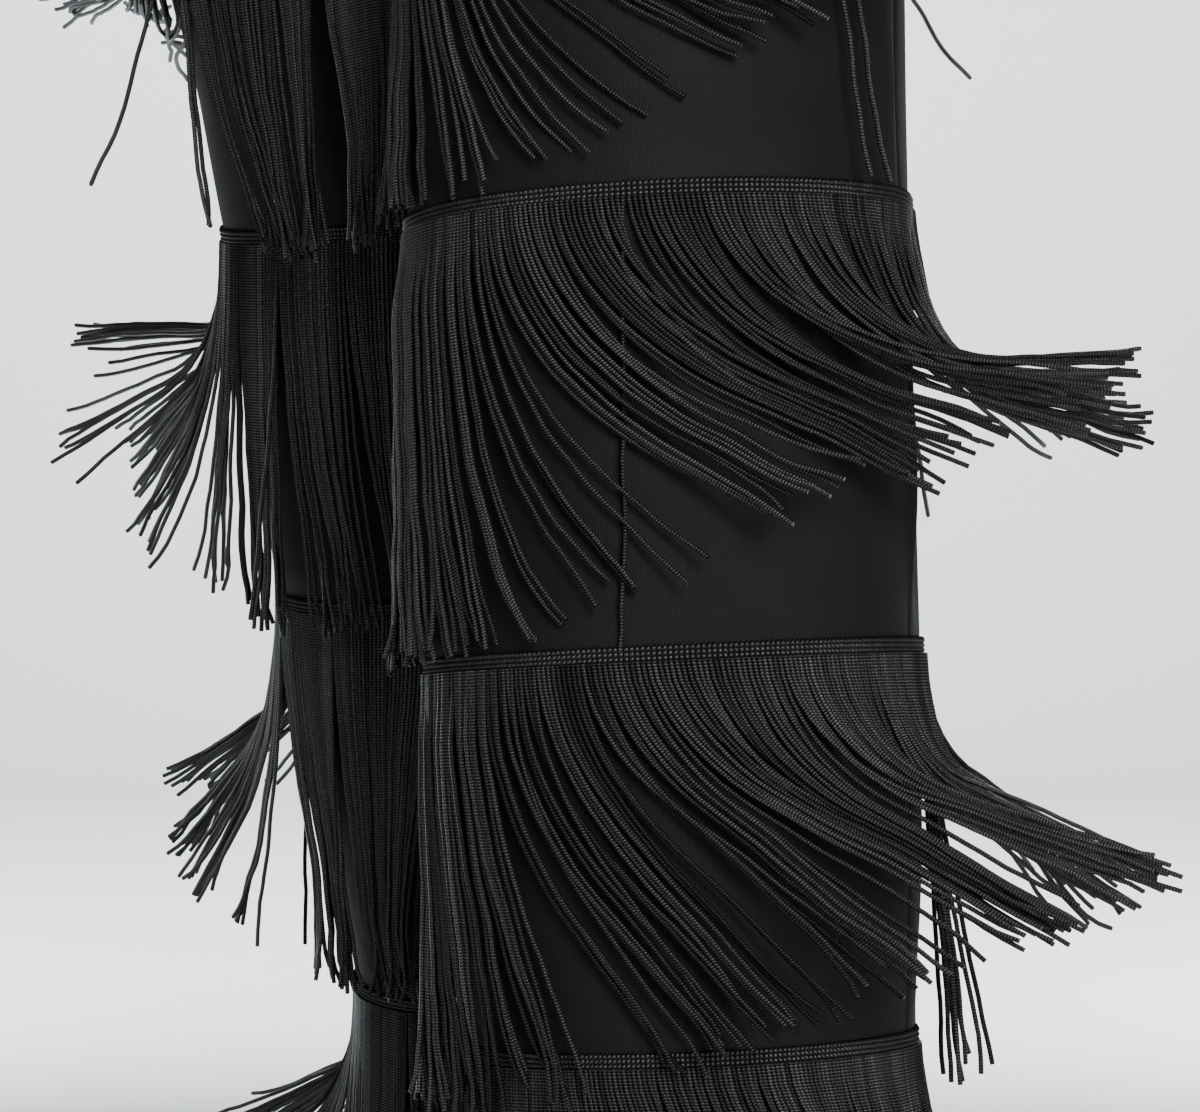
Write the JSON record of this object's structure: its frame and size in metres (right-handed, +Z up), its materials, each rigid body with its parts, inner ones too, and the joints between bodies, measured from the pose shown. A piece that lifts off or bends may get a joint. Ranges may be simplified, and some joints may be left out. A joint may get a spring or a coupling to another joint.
{
  "type": "latin dance pants",
  "caption": "Wide-leg pull-on dance trousers in black stretch knit with tiers of long cord fringe round each leg, worn hollow in a stepping pose.",
  "frame": {"origin": "middle of the waist opening, in the plane of the waistband's upper edge", "axes": "+Z up along the wearer's trunk, -Y the way the wearer faces, +X towards the wearer's left side"},
  "size_m": [0.6307, 0.44, 1.0331],
  "materials": {
    "trouser_knit": "matte stretch jersey, black",
    "waistband_knit": "matte jersey over wide elastic, black",
    "cord_fringe": "chainette cord on a knitted tape, black with a soft sheen"
  },
  "bodies": {
    "root": {"waistband_front": "waistband_knit", "waistband_back": "waistband_knit", "left_front": "trouser_knit", "left_back": "trouser_knit", "right_front": "trouser_knit", "right_back": "trouser_knit", "left_fringe_1": "cord_fringe", "left_fringe_2": "cord_fringe", "left_fringe_3": "cord_fringe", "left_fringe_4": "cord_fringe", "right_fringe_1": "cord_fringe", "right_fringe_2": "cord_fringe", "right_fringe_3": "cord_fringe", "right_fringe_4": "cord_fringe"}
  },
  "joints": []
}
